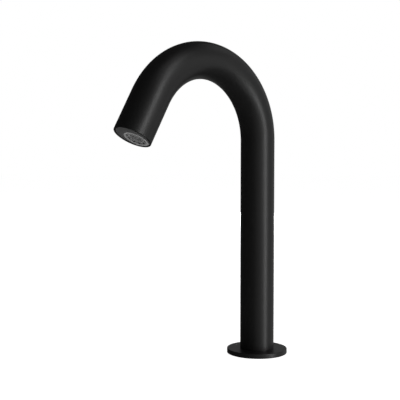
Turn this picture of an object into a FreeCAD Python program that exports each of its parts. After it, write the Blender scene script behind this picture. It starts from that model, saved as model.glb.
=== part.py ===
import FreeCAD, Part
import math
import os
from FreeCAD import Placement, Rotation, Vector

# A tall deck-mounted sensor tap, in millimetres. The origin is the centre of the base flange's
# underside, which rests on the deck, +Z is up, and the spout reaches towards -Y in the plane x = 0.

# Spout: a straight column, a half-open bend that widens slightly, and a straight outlet end.
COLUMN_RADIUS = 16.0
COLUMN_TOP = 202.5
BEND_RADIUS = 70.0
BEND_ANGLE = 150.0
OUTLET_RADIUS = 16.9
OUTLET_LENGTH = 39.4
TUBE_WALL = 1.7
OUTLET_EDGE_ROUND = 0.5

# Base flange, with a step on which the tube stands and a groove for its gasket.
FLANGE_RADIUS = 28.6
FLANGE_THICKNESS = 4.4
FLANGE_EDGE_BREAK = 0.35
FLANGE_SEAT = 1.4
GASKET_INNER_RADIUS = 20.0
GASKET_OUTER_RADIUS = 24.0
GASKET_THICKNESS = 1.6
FLANGE_O_RING_SECTION = 1.1
FLANGE_O_RING_HEIGHT = 2.8

# Fixing under the deck: M24x1.5 hollow shank, washers and nut, drawn for a 20 mm deck.
SHANK_RADIUS = 12.0
SHANK_BORE_RADIUS = 10.0
SHANK_BOTTOM = -58.0
SHANK_TOP = 15.9
INSERT_TOP = 19.0
INSERT_BORE_RADIUS = 10.6
RUNNING_CLEARANCE = 0.05
FACE_GAP = 0.02
DECK_THICKNESS = 20.0
RUBBER_WASHER_THICKNESS = 3.0
STEEL_WASHER_THICKNESS = 2.5
CLAMP_WASHER_RADIUS = 24.5
CLAMP_WASHER_HOLE_RADIUS = 12.6
NUT_ACROSS_FLATS = 36.0
NUT_THICKNESS = 9.0
NUT_FACE_HEIGHT = 0.8
NUT_CHAMFER = 1.4
BASE_GRUB_RADIUS = 2.0
BASE_GRUB_LENGTH = 4.0
BASE_GRUB_HEIGHT = 10.0

# Inlet plug at the shank's foot: a water inlet for a M10x1 hose tail, and the lead's M8x1 socket.
PLUG_HEAD_RADIUS = 10.9
PLUG_HEAD_HEIGHT = 8.0
PLUG_SPIGOT_HEIGHT = 10.0
PLUG_ACROSS_FLATS = 19.0
INLET_HOLE_RADIUS = 4.5
INLET_HOLE_DEPTH = 10.0
SOCKET_NOSE_RADIUS = 4.0
SOCKET_NOSE_LENGTH = 6.5
SOCKET_BARREL_RADIUS = 2.6
SOCKET_RECESS_RADIUS = 2.9
SOCKET_RECESS_DEPTH = 5.0
SOCKET_PIN_RADIUS = 0.45
SOCKET_PIN_CIRCLE_RADIUS = 1.5
SOCKET_PIN_COUNT = 3

# Water hose and sensor cable. Both run through the tube, each on its own side of the centre line:
# an offset is measured from the centre line towards the outside of the bend.
HOSE_OFFSET = -4.2
HOSE_RADIUS = 5.0
HOSE_BORE_RADIUS = 3.5
NIPPLE_RADIUS = 3.45
NIPPLE_BORE_RADIUS = 2.4
NIPPLE_LENGTH = 13.0
NIPPLE_BARB_DEPTH = 0.35
NIPPLE_BARB_COUNT = 3
FERRULE_RADIUS = 5.6
FERRULE_LENGTH = 9.0
CABLE_OFFSET = 6.8
CABLE_RADIUS = 1.8
CABLE_TO_SENSOR_OFFSET = 10.4
CABLE_S_BEND_RADIUS = 20.0
CABLE_S_BEND_START = 39.2
CABLE_IN_RESIN = 3.0

# Outlet end. Depths are measured inwards from the tube's rim, along the tube.
# In the outlet's own axes, x is the tap's x, y points away from the column and z out of the outlet.
PLATE_DEPTH = 0.5
PLATE_THICKNESS = 1.5
PLATE_LOW_EDGE = -12.0
BLOCK_CLEARANCE = 0.05
BLOCK_BACK = 24.0
COLLAR_RADIUS = 11.0
AERATOR_OFFSET = -4.2
AERATOR_RADIUS = 9.25
AERATOR_DEPTH = 0.7
AERATOR_LENGTH = 9.1
AERATOR_BORE_RADIUS = 7.9
AERATOR_RIM_RADIUS = 7.3
AERATOR_RIM_DEPTH = 0.5
AERATOR_NOTCH_COUNT = 9
AERATOR_NOTCH_WIDTH = 2.0
AERATOR_NOTCH_DEPTH = 1.6
AERATOR_NOTCH_RADIUS = 8.75
AERATOR_NOTCH_PHASE = 5.6
SOCKET_FLOOR = 11.5
CHAMBER_RADIUS = 7.4
CHAMBER_FLOOR = 16.0
SCREEN_THICKNESS = 1.6
SCREEN_CELL = 1.5
SCREEN_CELL_PITCH = 1.85
SCREEN_RINGS = 3
DIFFUSER_DEPTH = 5.4
DIFFUSER_THICKNESS = 1.0
DIFFUSER_HOLE_COUNT = 12
DIFFUSER_HOLE_RADIUS = 0.5
REGULATOR_DEPTH = 7.2
REGULATOR_THICKNESS = 1.8
FILTER_RADIUS = 6.6
FILTER_HEIGHT = 3.6
FILTER_WALL = 0.6
WASHER_INNER_RADIUS = 7.0
WASHER_OUTER_RADIUS = 9.1
OUTLET_O_RING_DEPTH = 22.0
OUTLET_O_RING_SECTION = 1.4
OUTLET_GRUB_RADIUS = 1.5
OUTLET_GRUB_LENGTH = 4.0
OUTLET_GRUB_DEPTH = 18.0

# Sensor capsule, in the crescent between the aerator's socket and the tube.
POCKET_LOW_SIDE = 6.9
POCKET_ARC_RADIUS = 14.1
POCKET_HALF_WIDTH = 9.0
POCKET_FLOOR = 17.0
CAPSULE_CLEARANCE = 0.1
CAPSULE_WALL = 0.8
EYE_SPACING = 8.8
EYE_HEIGHT = 10.2
EYE_WELL_RADIUS = 1.75
EYE_RADIUS = 1.5
EYE_FRONT = 3.4
BOARD_DEPTH = 9.2
BOARD_THICKNESS = 1.4

OUTLET_INNER_RADIUS = OUTLET_RADIUS - TUBE_WALL
TUBE_BORE_RADIUS = COLUMN_RADIUS - TUBE_WALL
BEND_RADIANS = math.radians(BEND_ANGLE)


def bend_point(offset, turned):
    """The point on the bend after a turn in radians, offset outwards from the centre line."""
    reach = BEND_RADIUS + offset
    return Vector(0, reach * math.cos(turned) - BEND_RADIUS, COLUMN_TOP + reach * math.sin(turned))


OUTLET_DIRECTION = Vector(0, -math.sin(BEND_RADIANS), math.cos(BEND_RADIANS))
OUTLET_CENTRE = bend_point(0, BEND_RADIANS) + OUTLET_DIRECTION * OUTLET_LENGTH
OUTLET_AXES = Placement(OUTLET_CENTRE, Rotation(Vector(1, 0, 0), BEND_ANGLE))


def at_outlet(shape):
    """Move a shape that is drawn in the outlet's own axes to the end of the spout."""
    return shape.transformed(OUTLET_AXES.toMatrix(), True)


def disc(radius, low, high, x=0.0, y=0.0):
    return Part.makeCylinder(radius, high - low, Vector(x, y, low))


def ring(inner, outer, low, high, x=0.0, y=0.0):
    return disc(outer, low, high, x, y).cut(disc(inner, low - 1, high + 1, x, y))


def block(x_low, x_high, y_low, y_high, z_low, z_high):
    return Part.makeBox(x_high - x_low, y_high - y_low, z_high - z_low, Vector(x_low, y_low, z_low))


def rod(radius, start, end):
    return Part.makeCylinder(radius, (end - start).Length, start, end - start)


def turned(profile, x=0.0, y=0.0):
    """Revolve a profile of (radius, height) corners about the vertical through x, y."""
    corners = [Vector(x + radius, y, height) for radius, height in profile]
    face = Part.Face(Part.makePolygon(corners + corners[:1]))
    return face.revolve(Vector(x, y, 0), Vector(0, 0, 1), 360)


def o_ring(inner, section, height):
    """A rubber ring whose round section is drawn with eight sides."""
    corners = []
    for number in range(8):
        angle = (number + 0.5) * math.pi / 4
        reach = section / 2 / math.cos(math.pi / 8)
        corners.append((inner + section / 2 + reach * math.cos(angle), height + reach * math.sin(angle)))
    return turned(corners)


def prism(sides, across_flats, low, high, x=0.0, y=0.0, phase=0.0):
    """A regular prism, with a flat across its first axis after phase degrees."""
    corner = across_flats / 2 / math.cos(math.pi / sides)
    corners = []
    for number in range(sides):
        angle = math.radians(phase) + (number + 0.5) * 2 * math.pi / sides
        corners.append(Vector(x + corner * math.cos(angle), y + corner * math.sin(angle), low))
    face = Part.Face(Part.makePolygon(corners + corners[:1]))
    return face.extrude(Vector(0, 0, high - low))


def capsule_solid(margin, front, back):
    """The sensor pocket's outline, drawn in by a margin: a flat side, two ends and an arc."""
    arc = disc(POCKET_ARC_RADIUS - margin, -back, -front)
    half = POCKET_HALF_WIDTH - margin
    return arc.common(block(-half, half, POCKET_LOW_SIDE + margin, OUTLET_RADIUS, -back, -front))


def bend_bar(offset, radius):
    """The bend as a solid bar of even radius, offset outwards from the centre line."""
    circle = Part.Wire(Part.makeCircle(radius, bend_point(offset, 0), Vector(0, 0, 1)))
    return Part.Face(circle).revolve(bend_point(-BEND_RADIUS, 0), Vector(1, 0, 0), BEND_ANGLE)


def long_bar(offset, radius, low, depth):
    """A bar up the column from a height, round the bend and on to a depth in the outlet end."""
    column = rod(radius, Vector(0, offset, low), bend_point(offset, 0))
    end = rod(radius, bend_point(offset, BEND_RADIANS), OUTLET_AXES.multVec(Vector(0, offset, -depth)))
    return column.fuse([bend_bar(offset, radius), end])


def long_bar_length(offset, low, depth):
    return COLUMN_TOP - low + (BEND_RADIUS + offset) * BEND_RADIANS + OUTLET_LENGTH - depth


def widening_bend(start_radius, end_radius):
    """The bend as a solid bar whose radius grows evenly from the column to the outlet end."""
    middle = bend_point(0, BEND_RADIANS / 2)
    spine = Part.Wire(Part.Arc(bend_point(0, 0), middle, bend_point(0, BEND_RADIANS)).toShape())
    start = Part.Wire(Part.makeCircle(start_radius, bend_point(0, 0), Vector(0, 0, 1)))
    end = Part.Wire(Part.makeCircle(end_radius, bend_point(0, BEND_RADIANS), OUTLET_DIRECTION))
    shell = Part.BRepOffsetAPI.MakePipeShell(spine)
    shell.add(start)
    shell.add(end)
    shell.build()
    shell.makeSolid()
    return shell.shape()


def outlet_end():
    bar = disc(OUTLET_RADIUS, -OUTLET_LENGTH, 0)
    rim = [edge for edge in bar.Edges if abs(edge.CenterOfMass.z) < 1e-6 and len(edge.Vertexes) == 1]
    return at_outlet(bar.makeFillet(OUTLET_EDGE_ROUND, rim))


def make_spout_tube():
    """One tube of even bore, thickened round the bend; its end is bored out to seat the outlet block."""
    column = ring(TUBE_BORE_RADIUS, COLUMN_RADIUS, FLANGE_SEAT, COLUMN_TOP)
    bend = widening_bend(COLUMN_RADIUS, OUTLET_RADIUS).cut(bend_bar(0, TUBE_BORE_RADIUS))
    end = outlet_end().cut(at_outlet(disc(TUBE_BORE_RADIUS, -OUTLET_LENGTH, 0)))
    end = end.cut(at_outlet(disc(OUTLET_INNER_RADIUS, -BLOCK_BACK - FACE_GAP, 0)))
    tube = column.fuse([bend, end])
    back = Vector(0, COLUMN_RADIUS + 1, BASE_GRUB_HEIGHT)
    tube = tube.cut(rod(BASE_GRUB_RADIUS + 0.15, Vector(0, 0, BASE_GRUB_HEIGHT), back))
    under = Vector(0, -OUTLET_RADIUS - 1, -OUTLET_GRUB_DEPTH)
    tube = tube.cut(at_outlet(rod(OUTLET_GRUB_RADIUS + 0.15, Vector(0, 0, -OUTLET_GRUB_DEPTH), under)))
    return tube


def make_base_insert():
    profile = [
        (SHANK_RADIUS + RUNNING_CLEARANCE, FLANGE_SEAT),
        (TUBE_BORE_RADIUS - RUNNING_CLEARANCE, FLANGE_SEAT),
        (TUBE_BORE_RADIUS - RUNNING_CLEARANCE, INSERT_TOP),
        (INSERT_BORE_RADIUS, INSERT_TOP),
        (INSERT_BORE_RADIUS, SHANK_TOP + FACE_GAP),
        (SHANK_RADIUS + RUNNING_CLEARANCE, SHANK_TOP + FACE_GAP),
    ]
    hole = rod(BASE_GRUB_RADIUS, Vector(0, 0, BASE_GRUB_HEIGHT), Vector(0, COLUMN_RADIUS, BASE_GRUB_HEIGHT))
    return turned(profile).cut(hole)


def make_base_flange():
    groove_low = FLANGE_O_RING_HEIGHT - FLANGE_O_RING_SECTION / 2
    groove_high = FLANGE_O_RING_HEIGHT + FLANGE_O_RING_SECTION / 2
    bore = COLUMN_RADIUS + RUNNING_CLEARANCE
    profile = [
        (SHANK_RADIUS + 0.3, 0),
        (GASKET_INNER_RADIUS, 0),
        (GASKET_INNER_RADIUS, GASKET_THICKNESS),
        (GASKET_OUTER_RADIUS, GASKET_THICKNESS),
        (GASKET_OUTER_RADIUS, 0),
        (FLANGE_RADIUS - FLANGE_EDGE_BREAK, 0),
        (FLANGE_RADIUS, FLANGE_EDGE_BREAK),
        (FLANGE_RADIUS, FLANGE_THICKNESS - FLANGE_EDGE_BREAK),
        (FLANGE_RADIUS - FLANGE_EDGE_BREAK, FLANGE_THICKNESS),
        (bore, FLANGE_THICKNESS),
        (bore, groove_high),
        (bore + FLANGE_O_RING_SECTION, groove_high),
        (bore + FLANGE_O_RING_SECTION, groove_low),
        (bore, groove_low),
        (bore, FLANGE_SEAT),
        (SHANK_RADIUS + 0.3, FLANGE_SEAT),
    ]
    return turned(profile)


def make_flange_o_ring():
    return o_ring(COLUMN_RADIUS + RUNNING_CLEARANCE, FLANGE_O_RING_SECTION, FLANGE_O_RING_HEIGHT)


def make_deck_gasket():
    return ring(GASKET_INNER_RADIUS, GASKET_OUTER_RADIUS, 0, GASKET_THICKNESS)


def make_threaded_shank():
    chamfer = 0.8
    profile = [
        (SHANK_BORE_RADIUS, SHANK_BOTTOM),
        (SHANK_RADIUS - chamfer, SHANK_BOTTOM),
        (SHANK_RADIUS, SHANK_BOTTOM + chamfer),
        (SHANK_RADIUS, SHANK_TOP - chamfer),
        (SHANK_RADIUS - chamfer, SHANK_TOP),
        (SHANK_BORE_RADIUS, SHANK_TOP),
    ]
    return turned(profile)


def make_base_grub_screw():
    """A socket set screw that presses on the shank from the back of the column."""
    near = Vector(0, SHANK_RADIUS, BASE_GRUB_HEIGHT)
    far = Vector(0, SHANK_RADIUS + BASE_GRUB_LENGTH - 0.3, BASE_GRUB_HEIGHT)
    screw = rod(BASE_GRUB_RADIUS, near, far)
    key = prism(6, BASE_GRUB_RADIUS, 0, 2.5)
    key.Placement = Placement(far, Rotation(Vector(1, 0, 0), 90))
    return screw.cut(key)


def make_rubber_clamp_washer():
    top = -DECK_THICKNESS
    low = top - RUBBER_WASHER_THICKNESS
    return ring(CLAMP_WASHER_HOLE_RADIUS + 0.2, CLAMP_WASHER_RADIUS - 0.5, low, top)


def make_steel_clamp_washer():
    top = -DECK_THICKNESS - RUBBER_WASHER_THICKNESS
    low = top - STEEL_WASHER_THICKNESS
    edge = 0.3
    profile = [
        (CLAMP_WASHER_HOLE_RADIUS, low),
        (CLAMP_WASHER_RADIUS - edge, low),
        (CLAMP_WASHER_RADIUS, low + edge),
        (CLAMP_WASHER_RADIUS, top),
        (CLAMP_WASHER_HOLE_RADIUS, top),
    ]
    return turned(profile)


def make_back_nut():
    """A hexagon nut with a turned face on top and corners that are chamfered below."""
    top = -DECK_THICKNESS - RUBBER_WASHER_THICKNESS - STEEL_WASHER_THICKNESS - FACE_GAP
    low = top - NUT_THICKNESS
    corner = NUT_ACROSS_FLATS / 2 / math.cos(math.pi / 6)
    bore = SHANK_RADIUS + RUNNING_CLEARANCE
    slope = NUT_CHAMFER * math.tan(math.radians(30))
    envelope = turned([
        (bore + 1, low),
        (corner - NUT_CHAMFER, low),
        (corner + 0.01, low + slope + 0.01),
        (corner + 0.01, top - NUT_FACE_HEIGHT),
        (NUT_ACROSS_FLATS / 2 - 0.4, top - NUT_FACE_HEIGHT),
        (NUT_ACROSS_FLATS / 2 - 0.4, top),
        (bore + 1, top),
        (bore, top - 1),
        (bore, low + 1),
    ])
    return prism(6, NUT_ACROSS_FLATS, low, top).common(envelope)


def nipple(root, tip):
    """A hose nipple with shallow barbs that point back from its tip, drawn on the z axis."""
    sign = 1 if tip > root else -1
    pitch = abs(tip - root) / (NIPPLE_BARB_COUNT + 1)
    profile = [(NIPPLE_BORE_RADIUS, root), (NIPPLE_RADIUS, root)]
    for number in range(1, NIPPLE_BARB_COUNT + 1):
        start = root + sign * number * pitch
        profile.append((NIPPLE_RADIUS, start))
        profile.append((NIPPLE_RADIUS - NIPPLE_BARB_DEPTH, start + sign * pitch))
    profile.append((NIPPLE_BORE_RADIUS, tip))
    return turned(profile, 0, HOSE_OFFSET)


def make_inlet_plug():
    """Brass plug in the shank's foot: hose nipple above, threaded water inlet and lead hole below."""
    head_low = SHANK_BOTTOM - PLUG_HEAD_HEIGHT
    spigot_top = SHANK_BOTTOM + PLUG_SPIGOT_HEIGHT
    half = PLUG_ACROSS_FLATS / 2
    head = disc(PLUG_HEAD_RADIUS, head_low, SHANK_BOTTOM)
    head = head.common(block(-half, half, -PLUG_HEAD_RADIUS, PLUG_HEAD_RADIUS, head_low, SHANK_BOTTOM))
    spigot = disc(SHANK_BORE_RADIUS - RUNNING_CLEARANCE, SHANK_BOTTOM, spigot_top)
    plug = head.fuse(spigot)
    plug = plug.cut(disc(INLET_HOLE_RADIUS, head_low, head_low + INLET_HOLE_DEPTH, 0, HOSE_OFFSET))
    plug = plug.cut(disc(NIPPLE_BORE_RADIUS, head_low, spigot_top, 0, HOSE_OFFSET))
    plug = plug.cut(disc(SOCKET_BARREL_RADIUS, head_low, spigot_top, 0, CABLE_OFFSET))
    return plug.fuse(nipple(spigot_top, spigot_top + NIPPLE_LENGTH)).removeSplitter()


def make_lead_socket():
    """Round three-pin socket: a barrel through the plug and a threaded nose below it."""
    head_low = SHANK_BOTTOM - PLUG_HEAD_HEIGHT
    nose_low = head_low - SOCKET_NOSE_LENGTH
    profile = [
        (0, nose_low + SOCKET_RECESS_DEPTH),
        (SOCKET_RECESS_RADIUS, nose_low + SOCKET_RECESS_DEPTH),
        (SOCKET_RECESS_RADIUS, nose_low),
        (SOCKET_NOSE_RADIUS, nose_low),
        (SOCKET_NOSE_RADIUS, head_low),
        (SOCKET_BARREL_RADIUS, head_low),
        (SOCKET_BARREL_RADIUS, SHANK_BOTTOM + PLUG_SPIGOT_HEIGHT),
        (0, SHANK_BOTTOM + PLUG_SPIGOT_HEIGHT),
    ]
    return turned(profile, 0, CABLE_OFFSET)


def make_lead_socket_pins():
    floor = SHANK_BOTTOM - PLUG_HEAD_HEIGHT - SOCKET_NOSE_LENGTH + SOCKET_RECESS_DEPTH
    pins = []
    for number in range(SOCKET_PIN_COUNT):
        angle = 2 * math.pi * number / SOCKET_PIN_COUNT
        x = SOCKET_PIN_CIRCLE_RADIUS * math.cos(angle)
        y = CABLE_OFFSET + SOCKET_PIN_CIRCLE_RADIUS * math.sin(angle)
        pins.append(disc(SOCKET_PIN_RADIUS, floor - SOCKET_RECESS_DEPTH + 1, floor, x, y))
    return Part.makeCompound(pins)


def make_inner_hose():
    """The water hose, from the plug's nipple to the outlet block's nipple, along the tube."""
    low = SHANK_BOTTOM + PLUG_SPIGOT_HEIGHT
    print("hose length", round(long_bar_length(HOSE_OFFSET, low, BLOCK_BACK), 1))
    hose = long_bar(HOSE_OFFSET, HOSE_RADIUS, low, BLOCK_BACK)
    return hose.cut(long_bar(HOSE_OFFSET, HOSE_BORE_RADIUS, low, BLOCK_BACK))


def make_inlet_hose_ferrule():
    low = SHANK_BOTTOM + PLUG_SPIGOT_HEIGHT + 2
    return ring(HOSE_RADIUS, FERRULE_RADIUS, low, low + FERRULE_LENGTH, 0, HOSE_OFFSET)


def make_outlet_hose_ferrule():
    high = -BLOCK_BACK - 2
    return at_outlet(ring(HOSE_RADIUS, FERRULE_RADIUS, high - FERRULE_LENGTH, high, 0, HOSE_OFFSET))


def make_sensor_cable():
    """The cable, up the column and round the bend, then across to the sensor in a shallow S."""
    low = SHANK_BOTTOM + PLUG_SPIGOT_HEIGHT
    shift = CABLE_TO_SENSOR_OFFSET - CABLE_OFFSET
    turn = math.acos(1 - shift / (2 * CABLE_S_BEND_RADIUS))
    s_end = 2 * CABLE_S_BEND_RADIUS * math.sin(turn) - CABLE_S_BEND_START
    bar_end = POCKET_FLOOR - CABLE_IN_RESIN
    length = long_bar_length(CABLE_OFFSET, low, CABLE_S_BEND_START) + 2 * CABLE_S_BEND_RADIUS * turn
    print("cable length", round(length - s_end - bar_end, 1))
    pieces = []
    for y, z, side in ((CABLE_OFFSET, -CABLE_S_BEND_START, 1), (CABLE_TO_SENSOR_OFFSET, s_end, -1)):
        section = Part.Face(Part.Wire(Part.makeCircle(CABLE_RADIUS, Vector(0, y, z), Vector(0, 0, 1))))
        centre = Vector(0, y + side * CABLE_S_BEND_RADIUS, z)
        pieces.append(at_outlet(section.revolve(centre, Vector(-1, 0, 0), math.degrees(turn))))
    pieces.append(at_outlet(disc(CABLE_RADIUS, s_end, -bar_end, 0, CABLE_TO_SENSOR_OFFSET)))
    return long_bar(CABLE_OFFSET, CABLE_RADIUS, low, CABLE_S_BEND_START).fuse(pieces)


def make_outlet_block():
    """Moulded insert: aerator socket, water chamber and nipple, with the sensor pocket beside them."""
    radius = OUTLET_INNER_RADIUS - BLOCK_CLEARANCE
    seat = PLATE_DEPTH + PLATE_THICKNESS
    body = disc(radius, -BLOCK_BACK, -seat)
    collar = disc(COLLAR_RADIUS, -seat, -PLATE_DEPTH, 0, AERATOR_OFFSET)
    land = block(-radius, radius, -radius, PLATE_LOW_EDGE, -seat, -PLATE_DEPTH)
    front = disc(radius, -seat, -PLATE_DEPTH).common(collar.fuse(land))
    body = body.fuse(front)
    body = body.cut(disc(AERATOR_RADIUS + RUNNING_CLEARANCE, -SOCKET_FLOOR, 0, 0, AERATOR_OFFSET))
    body = body.cut(disc(CHAMBER_RADIUS, -CHAMBER_FLOOR, 0, 0, AERATOR_OFFSET))
    body = body.cut(disc(NIPPLE_BORE_RADIUS, -BLOCK_BACK, 0, 0, AERATOR_OFFSET))
    body = body.cut(capsule_solid(0, seat, POCKET_FLOOR))
    body = body.cut(disc(CABLE_RADIUS + 0.2, -BLOCK_BACK, -POCKET_FLOOR, 0, CABLE_TO_SENSOR_OFFSET))
    groove_floor = radius - OUTLET_O_RING_SECTION
    low = -OUTLET_O_RING_DEPTH - OUTLET_O_RING_SECTION / 2
    body = body.cut(ring(groove_floor, radius + 1, low, low + OUTLET_O_RING_SECTION))
    screw_start = Vector(0, -radius - 1, -OUTLET_GRUB_DEPTH)
    screw_end = Vector(0, -radius + OUTLET_GRUB_LENGTH, -OUTLET_GRUB_DEPTH)
    body = body.cut(rod(OUTLET_GRUB_RADIUS, screw_start, screw_end))
    body = body.fuse(nipple(-BLOCK_BACK, -BLOCK_BACK - NIPPLE_LENGTH))
    return at_outlet(body.removeSplitter())


def make_outlet_block_o_ring():
    inner = OUTLET_INNER_RADIUS - BLOCK_CLEARANCE - OUTLET_O_RING_SECTION
    return at_outlet(o_ring(inner, OUTLET_O_RING_SECTION, -OUTLET_O_RING_DEPTH))


def make_outlet_grub_screw():
    radius = OUTLET_INNER_RADIUS - BLOCK_CLEARANCE
    tip = Vector(0, -radius + OUTLET_GRUB_LENGTH - 0.1, -OUTLET_GRUB_DEPTH)
    head = Vector(0, -radius - 0.6, -OUTLET_GRUB_DEPTH)
    screw = rod(OUTLET_GRUB_RADIUS, head, tip)
    key = prism(6, OUTLET_GRUB_RADIUS, 0, 1.6)
    key.Placement = Placement(head, Rotation(Vector(1, 0, 0), -90))
    return at_outlet(screw.cut(key))


def make_face_plate():
    """Dark plate in front of the sensor: a wide crescent round the aerator's collar."""
    radius = OUTLET_INNER_RADIUS - BLOCK_CLEARANCE
    seat = PLATE_DEPTH + PLATE_THICKNESS
    plate = disc(radius, -seat, -PLATE_DEPTH)
    plate = plate.cut(disc(COLLAR_RADIUS + RUNNING_CLEARANCE, -seat - 1, 0, 0, AERATOR_OFFSET))
    return at_outlet(plate.cut(block(-radius, radius, -radius, PLATE_LOW_EDGE, -seat - 1, 0)))


def make_sensor_housing():
    front = PLATE_DEPTH + PLATE_THICKNESS + FACE_GAP
    housing = capsule_solid(CAPSULE_CLEARANCE, front, POCKET_FLOOR - FACE_GAP)
    housing = housing.cut(capsule_solid(CAPSULE_CLEARANCE + CAPSULE_WALL, BOARD_DEPTH, POCKET_FLOOR))
    for side in (-1, 1):
        x = side * EYE_SPACING / 2
        housing = housing.cut(disc(EYE_WELL_RADIUS, -BOARD_DEPTH, -front + 1, x, EYE_HEIGHT))
    return at_outlet(housing)


def make_infrared_emitter():
    """A three millimetre diode with a domed nose and a foot ring."""
    x = EYE_SPACING / 2
    body = disc(EYE_RADIUS, -BOARD_DEPTH, -EYE_FRONT - EYE_RADIUS, x, EYE_HEIGHT)
    nose = Part.makeSphere(EYE_RADIUS, Vector(x, EYE_HEIGHT, -EYE_FRONT - EYE_RADIUS))
    foot = disc(EYE_WELL_RADIUS - 0.05, -BOARD_DEPTH, -BOARD_DEPTH + 1, x, EYE_HEIGHT)
    return at_outlet(body.fuse([nose, foot]).removeSplitter())


def make_infrared_receiver():
    """A receiving diode with a flat filter on its nose."""
    x = -EYE_SPACING / 2
    body = disc(EYE_RADIUS, -BOARD_DEPTH, -EYE_FRONT, x, EYE_HEIGHT)
    foot = disc(EYE_WELL_RADIUS - 0.05, -BOARD_DEPTH, -BOARD_DEPTH + 1, x, EYE_HEIGHT)
    return at_outlet(body.fuse(foot).removeSplitter())


def make_sensor_board():
    margin = CAPSULE_CLEARANCE + CAPSULE_WALL + RUNNING_CLEARANCE
    return at_outlet(capsule_solid(margin, BOARD_DEPTH, BOARD_DEPTH + BOARD_THICKNESS))


def make_sensor_potting():
    margin = CAPSULE_CLEARANCE + CAPSULE_WALL
    resin = capsule_solid(margin, BOARD_DEPTH + BOARD_THICKNESS, POCKET_FLOOR - FACE_GAP)
    hole = disc(CABLE_RADIUS, -POCKET_FLOOR, -POCKET_FLOOR + CABLE_IN_RESIN, 0, CABLE_TO_SENSOR_OFFSET)
    return at_outlet(resin.cut(hole))


def make_aerator_housing():
    """Screw-in cartridge shell: a tube with an inner rim, castellated so that a key can turn it."""
    front = -AERATOR_DEPTH
    back = front - AERATOR_LENGTH
    rim_back = front - AERATOR_RIM_DEPTH
    edge = 0.25
    shell = turned([
        (AERATOR_BORE_RADIUS, back),
        (AERATOR_RADIUS, back),
        (AERATOR_RADIUS, front - edge),
        (AERATOR_RADIUS - edge, front),
        (AERATOR_RIM_RADIUS, front),
        (AERATOR_RIM_RADIUS, rim_back),
        (AERATOR_BORE_RADIUS, rim_back),
    ], 0, AERATOR_OFFSET)
    notches = []
    for number in range(AERATOR_NOTCH_COUNT):
        half = AERATOR_NOTCH_WIDTH / 2
        floor = front - AERATOR_NOTCH_DEPTH
        notch = block(0, AERATOR_NOTCH_RADIUS, -half, half, floor, front + 1)
        angle = AERATOR_NOTCH_PHASE + 360 * number / AERATOR_NOTCH_COUNT
        notch.Placement = Placement(Vector(0, AERATOR_OFFSET, 0), Rotation(Vector(0, 0, 1), angle))
        notches.append(notch)
    return at_outlet(shell.cut(notches))


def make_aerator_screen():
    """Honeycomb grille: hexagonal cells in rings round the middle one."""
    front = -AERATOR_DEPTH - AERATOR_RIM_DEPTH - FACE_GAP
    back = front - SCREEN_THICKNESS
    grille = disc(AERATOR_BORE_RADIUS - RUNNING_CLEARANCE, back, front, 0, AERATOR_OFFSET)
    cells = []
    for column in range(-SCREEN_RINGS, SCREEN_RINGS + 1):
        for row in range(-SCREEN_RINGS, SCREEN_RINGS + 1):
            if abs(column + row) > SCREEN_RINGS:
                continue
            x = SCREEN_CELL_PITCH * (column + row / 2)
            y = AERATOR_OFFSET + SCREEN_CELL_PITCH * row * math.sqrt(3) / 2
            cells.append(prism(6, SCREEN_CELL, back - 1, front + 1, x, y, 30))
    return at_outlet(grille.cut(cells))


def make_aerator_diffuser():
    """Perforated disc that breaks the water up, with a ring of small holes round a raised middle."""
    radius = AERATOR_BORE_RADIUS - RUNNING_CLEARANCE
    back = -DIFFUSER_DEPTH - DIFFUSER_THICKNESS
    plate = disc(radius, back, -DIFFUSER_DEPTH, 0, AERATOR_OFFSET)
    plate = plate.fuse(disc(radius / 3, -DIFFUSER_DEPTH, -DIFFUSER_DEPTH + 1, 0, AERATOR_OFFSET))
    holes = []
    for number in range(DIFFUSER_HOLE_COUNT):
        angle = 2 * math.pi * number / DIFFUSER_HOLE_COUNT
        x = 0.6 * radius * math.cos(angle)
        y = AERATOR_OFFSET + 0.6 * radius * math.sin(angle)
        holes.append(prism(8, 2 * DIFFUSER_HOLE_RADIUS, back - 1, 0, x, y))
    return at_outlet(plate.cut(holes))


def make_flow_regulator():
    """Flow limiter: a rubber-lipped disc with a central spindle and an open ring round it."""
    radius = AERATOR_BORE_RADIUS - RUNNING_CLEARANCE
    back = -REGULATOR_DEPTH - REGULATOR_THICKNESS
    profile = [
        (2.6, back),
        (radius, back),
        (radius, -REGULATOR_DEPTH),
        (3.4, -REGULATOR_DEPTH),
    ]
    return at_outlet(turned(profile, 0, AERATOR_OFFSET))


def make_aerator_filter():
    """Dome strainer on the back of the cartridge, seated on the regulator's rim."""
    root = -REGULATOR_DEPTH - REGULATOR_THICKNESS - FACE_GAP
    foot = root - 0.8
    tip = -AERATOR_DEPTH - AERATOR_LENGTH - FILTER_HEIGHT
    profile = [
        (FILTER_RADIUS - FILTER_WALL, root),
        (FILTER_RADIUS, root),
        (FILTER_RADIUS, foot),
        (FILTER_RADIUS - 1.6, tip + 0.5),
        (FILTER_RADIUS - 2.4, tip),
        (0, tip),
        (0, tip + FILTER_WALL),
        (FILTER_RADIUS - 2.6, tip + FILTER_WALL),
        (FILTER_RADIUS - FILTER_WALL, foot),
    ]
    return at_outlet(turned(profile, 0, AERATOR_OFFSET))


def make_aerator_washer():
    back = -SOCKET_FLOOR + FACE_GAP
    front = -AERATOR_DEPTH - AERATOR_LENGTH - FACE_GAP
    return at_outlet(ring(WASHER_INNER_RADIUS, WASHER_OUTER_RADIUS, back, front, 0, AERATOR_OFFSET))


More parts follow.
